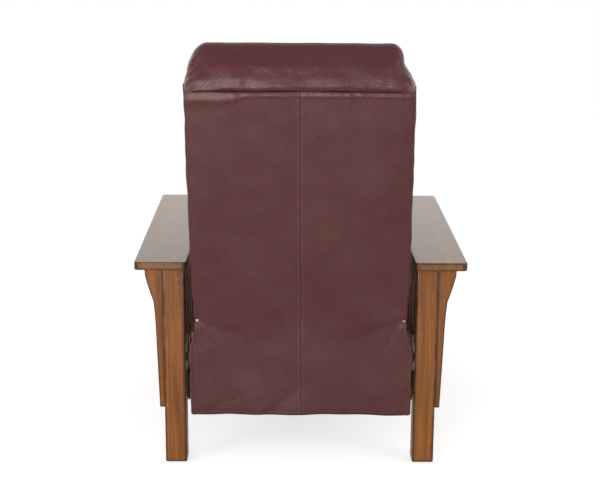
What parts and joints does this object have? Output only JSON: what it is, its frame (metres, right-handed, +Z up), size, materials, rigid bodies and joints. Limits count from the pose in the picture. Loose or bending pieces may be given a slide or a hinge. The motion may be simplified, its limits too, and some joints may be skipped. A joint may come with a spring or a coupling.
{
  "type": "reclining armchair",
  "caption": "Mission reclining armchair with an oak frame, flat arms on corbels, side slats, burgundy leather back and seat, and a folding footrest.",
  "frame": {"origin": "centre of the chair's outline on the floor, at rest", "axes": "+Z up, -Y towards the chair's front, +X towards the sitter's left"},
  "size_m": [0.81, 0.8959, 1.0705],
  "materials": {
    "oak": "satin glazed oak",
    "inner_wood": "plain planed hardwood",
    "leather_cushion": null,
    "leather_panel": "semi-gloss burgundy leather",
    "stud_metal": "satin nickel",
    "glide": "matt",
    "bright_steel": "zinc plated",
    "black_steel": "satin black"
  },
  "bodies": {
    "frame": {"arm_left": "oak", "arm_right": "oak", "front_leg_left": "oak", "front_leg_right": "oak", "rear_leg_left": "oak", "rear_leg_right": "oak", "leg_glides": "glide", "upper_side_rail_left": "oak", "upper_side_rail_right": "oak", "lower_side_rail_left": "oak", "lower_side_rail_right": "oak", "side_slats_left": "oak", "side_slats_right": "oak", "front_corbel_left": "oak", "front_corbel_right": "oak", "rear_corbel_left": "oak", "rear_corbel_right": "oak", "base_plate_left": "black_steel", "base_plate_right": "black_steel", "base_plate_screws": "bright_steel", "cross_tubes": "black_steel", "rear_stretcher": "oak", "base_pivot_pins": "bright_steel"},
    "rear_swing": {"rear_swing_links": "black_steel"},
    "front_swing": {"front_swing_links": "black_steel"},
    "seat": {"swing_head_pins": "bright_steel", "seat_plate_left": "black_steel", "seat_plate_right": "black_steel", "seat_side_rail_left": "inner_wood", "seat_side_rail_right": "inner_wood", "seat_cross_rails": "inner_wood", "seat_springs": "bright_steel", "seat_cushion": "leather_cushion", "footrest_head_pins": "bright_steel"},
    "back": {"back_stile_left": "inner_wood", "back_stile_right": "inner_wood", "back_cross_rails": "inner_wood", "back_springs": "bright_steel", "back_bracket_left": "black_steel", "back_bracket_right": "black_steel", "back_hinge_pins": "bright_steel", "outside_back_panel": "leather_panel", "back_boxing_left": "leather_panel", "back_boxing_right": "leather_panel", "head_roll": "leather_cushion", "back_cushion": "leather_cushion", "press_studs": "stud_metal"},
    "flap": {"back_flap": "leather_panel"},
    "footrest_link_a": {"footrest_links_a": "black_steel", "crank_link_pins": "bright_steel"},
    "footrest_link_b": {"footrest_links_b": "black_steel"},
    "coupler": {"coupler_links": "black_steel", "coupler_pins": "bright_steel"},
    "drive_link": {"drive_links": "black_steel"},
    "footrest": {"toe_pins": "bright_steel", "crank_bracket_pins": "bright_steel", "footrest_brackets": "black_steel", "footrest_board": "inner_wood", "footrest_pad": "leather_cushion"}
  },
  "joints": [
    {"name": "rear_swing_pivot", "type": "hinge", "parent": "frame", "child": "rear_swing", "pos_m": [0, 0.11946, 0.205], "axis": [1, 0, 0], "range_deg": [0, 50]},
    {"name": "seat_pivot", "type": "hinge", "parent": "rear_swing", "child": "seat", "pos_m": [0, 0.1575, 0.28657], "axis": [-1, 0, 0], "range_deg": [0, 50]},
    {"name": "back_recline", "type": "hinge", "parent": "seat", "child": "back", "pos_m": [0, 0.23446, 0.32], "axis": [-1, 0, 0], "range_deg": [0, 30]},
    {"name": "front_swing_pivot", "type": "hinge", "parent": "frame", "child": "front_swing", "pos_m": [0, -0.14054, 0.205], "axis": [1, 0, 0], "range_deg": [0, 50]},
    {"name": "flap_hinge", "type": "hinge", "parent": "back", "child": "flap", "pos_m": [0, 0.33325, 0.37686], "axis": [1, 0, 0], "range_deg": [0, 30]},
    {"name": "footrest_extend", "type": "hinge", "parent": "seat", "child": "footrest_link_a", "pos_m": [0, -0.22754, 0.313], "axis": [-1, 0, 0], "range_deg": [0, 95]},
    {"name": "link_b_pivot", "type": "hinge", "parent": "seat", "child": "footrest_link_b", "pos_m": [0, -0.29002, 0.32685], "axis": [-1, 0, 0], "range_deg": [0, 95]},
    {"name": "coupler_pivot", "type": "hinge", "parent": "footrest_link_a", "child": "coupler", "pos_m": [0, -0.0807, 0.1033], "axis": [1, 0, 0], "range_deg": [0, 95]},
    {"name": "drive_link_pivot", "type": "hinge", "parent": "footrest_link_a", "child": "drive_link", "pos_m": [0, -0.10185, 0.1508], "axis": [1, 0, 0], "range_deg": [0, 95]},
    {"name": "toe_pivot", "type": "hinge", "parent": "coupler", "child": "footrest", "pos_m": [0, -0.32954, 0.212], "axis": [-1, 0, 0], "range_deg": [0, 95]}
  ],
  "couplings": [
    {"joint": "rear_swing_pivot", "follows": "back_recline", "ratio": 1.6667},
    {"joint": "seat_pivot", "follows": "back_recline", "ratio": 1.6667},
    {"joint": "front_swing_pivot", "follows": "back_recline", "ratio": 1.6667},
    {"joint": "flap_hinge", "follows": "back_recline", "ratio": 1},
    {"joint": "link_b_pivot", "follows": "footrest_extend", "ratio": 1},
    {"joint": "coupler_pivot", "follows": "footrest_extend", "ratio": 1},
    {"joint": "drive_link_pivot", "follows": "footrest_extend", "ratio": 1},
    {"joint": "toe_pivot", "follows": "footrest_extend", "ratio": 1}
  ]
}
